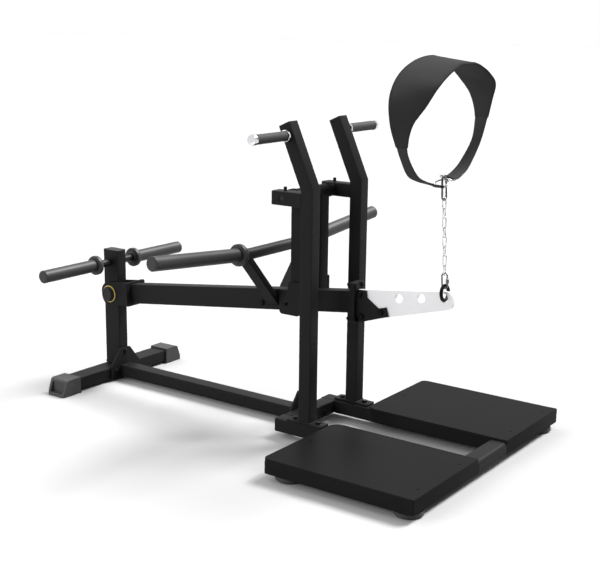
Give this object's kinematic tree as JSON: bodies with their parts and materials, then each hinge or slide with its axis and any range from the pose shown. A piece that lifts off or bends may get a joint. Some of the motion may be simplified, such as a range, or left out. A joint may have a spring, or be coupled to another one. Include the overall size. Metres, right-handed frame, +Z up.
{
  "type": "belt squat machine",
  "caption": "Plate loaded belt squat machine: a pivoting lever with splayed loading sleeves lifts a padded belt by a chain between two deck plates",
  "frame": {"origin": "on the floor, under the middle of the machine's box", "axes": "+X from the rear post towards the decks, +Y to the far side, +Z up"},
  "size_m": [1.792, 1.34, 1.369],
  "materials": {
    "frame_black": "fine textured black powder coat",
    "deck_black": "black powder coat with a satin sheen",
    "sleeve_steel": "smooth dark grey coat, slightly metallic",
    "foot_rubber": "matt moulded dark grey",
    "grip_rubber": "matt black, knurled",
    "plug_plastic": "matt black moulded plastic",
    "chrome": "polished chrome plate",
    "zinc": "dark zinc plate",
    "lever_white": "white powder coat with a satin sheen",
    "washer_yellow": "yellow bearing plastic",
    "belt_fabric": "black woven nylon over a pad"
  },
  "bodies": {
    "frame": {"rear_foot_cap_near": "foot_rubber", "rear_foot_cap_far": "foot_rubber", "rear_post": "frame_black", "post_cap": "plug_plastic", "base_rail": "frame_black", "front_cross_tube": "frame_black", "side_beam_near": "frame_black", "side_beam_far": "frame_black", "front_crossbar": "frame_black", "deck_frame_near": "frame_black", "deck_frame_far": "frame_black", "deck_plate_near": "deck_black", "deck_plate_far": "deck_black", "front_deck_foot_near": "foot_rubber", "front_deck_foot_far": "foot_rubber", "rear_deck_foot_near": "foot_rubber", "rear_deck_foot_far": "foot_rubber", "upright_near": "frame_black", "upright_far": "frame_black", "upright_cap_near": "plug_plastic", "upright_cap_far": "plug_plastic", "handle_bar_near": "chrome", "handle_bar_far": "chrome", "handle_grip_near": "grip_rubber", "handle_grip_far": "grip_rubber", "support_axle": "zinc", "storage_bar": "sleeve_steel", "storage_sleeve_near": "sleeve_steel", "storage_sleeve_far": "sleeve_steel", "storage_end_cap_near": "sleeve_steel", "storage_end_cap_far": "sleeve_steel"},
    "support": {"support_barrel": "frame_black", "barrel_bush_near": "plug_plastic", "barrel_bush_far": "plug_plastic", "support_leg_near": "frame_black", "support_leg_far": "frame_black"},
    "lever": {"lever_clevis": "frame_black", "pivot_washer_near": "washer_yellow", "pivot_washer_far": "washer_yellow", "pivot_shaft": "zinc", "lever_arm": "frame_black", "rest_pin": "zinc", "load_strut_near": "frame_black", "load_strut_far": "frame_black", "load_bar": "sleeve_steel", "load_sleeve_near": "sleeve_steel", "load_sleeve_far": "sleeve_steel", "load_end_cap_near": "sleeve_steel", "load_end_cap_far": "sleeve_steel", "nose_bracket": "frame_black", "lever_plate": "lever_white"},
    "tether": {"tow_ring": "chrome", "quick_link": "chrome", "chain": "chrome", "snap_hook": "chrome"},
    "gate": {"snap_gate": "zinc"},
    "belt": {"belt_pad": "belt_fabric", "belt_ring_near": "chrome", "belt_ring_far": "chrome"}
  },
  "joints": [
    {"name": "lever_pivot", "type": "hinge", "parent": "frame", "child": "lever", "pos_m": [-0.85, 0, 0.362], "axis": [0, -1, 0], "range_deg": [0, 16]},
    {"name": "support_swing", "type": "hinge", "parent": "frame", "child": "support", "pos_m": [0.132, 0, 0.873], "axis": [0, -1, 0], "range_deg": [0, 20]},
    {"name": "tether_swing", "type": "hinge", "parent": "lever", "child": "tether", "pos_m": [0.6886, 0, 0.57027], "axis": [0, 1, 0], "range_deg": [-25, 25]},
    {"name": "gate_swing", "type": "hinge", "parent": "tether", "child": "gate", "pos_m": [0.67006, 0.014, 0.92398], "axis": [0.9986, 0, 0.0523], "range_deg": [0, 20], "stiffness_Nm_per_rad": 0.01, "springref_deg": -11.46},
    {"name": "belt_swing", "type": "hinge", "parent": "tether", "child": "belt", "pos_m": [0.66768, 0, 0.96942], "axis": [0.9986, 0, 0.0523], "range_deg": [-20, 20]}
  ]
}
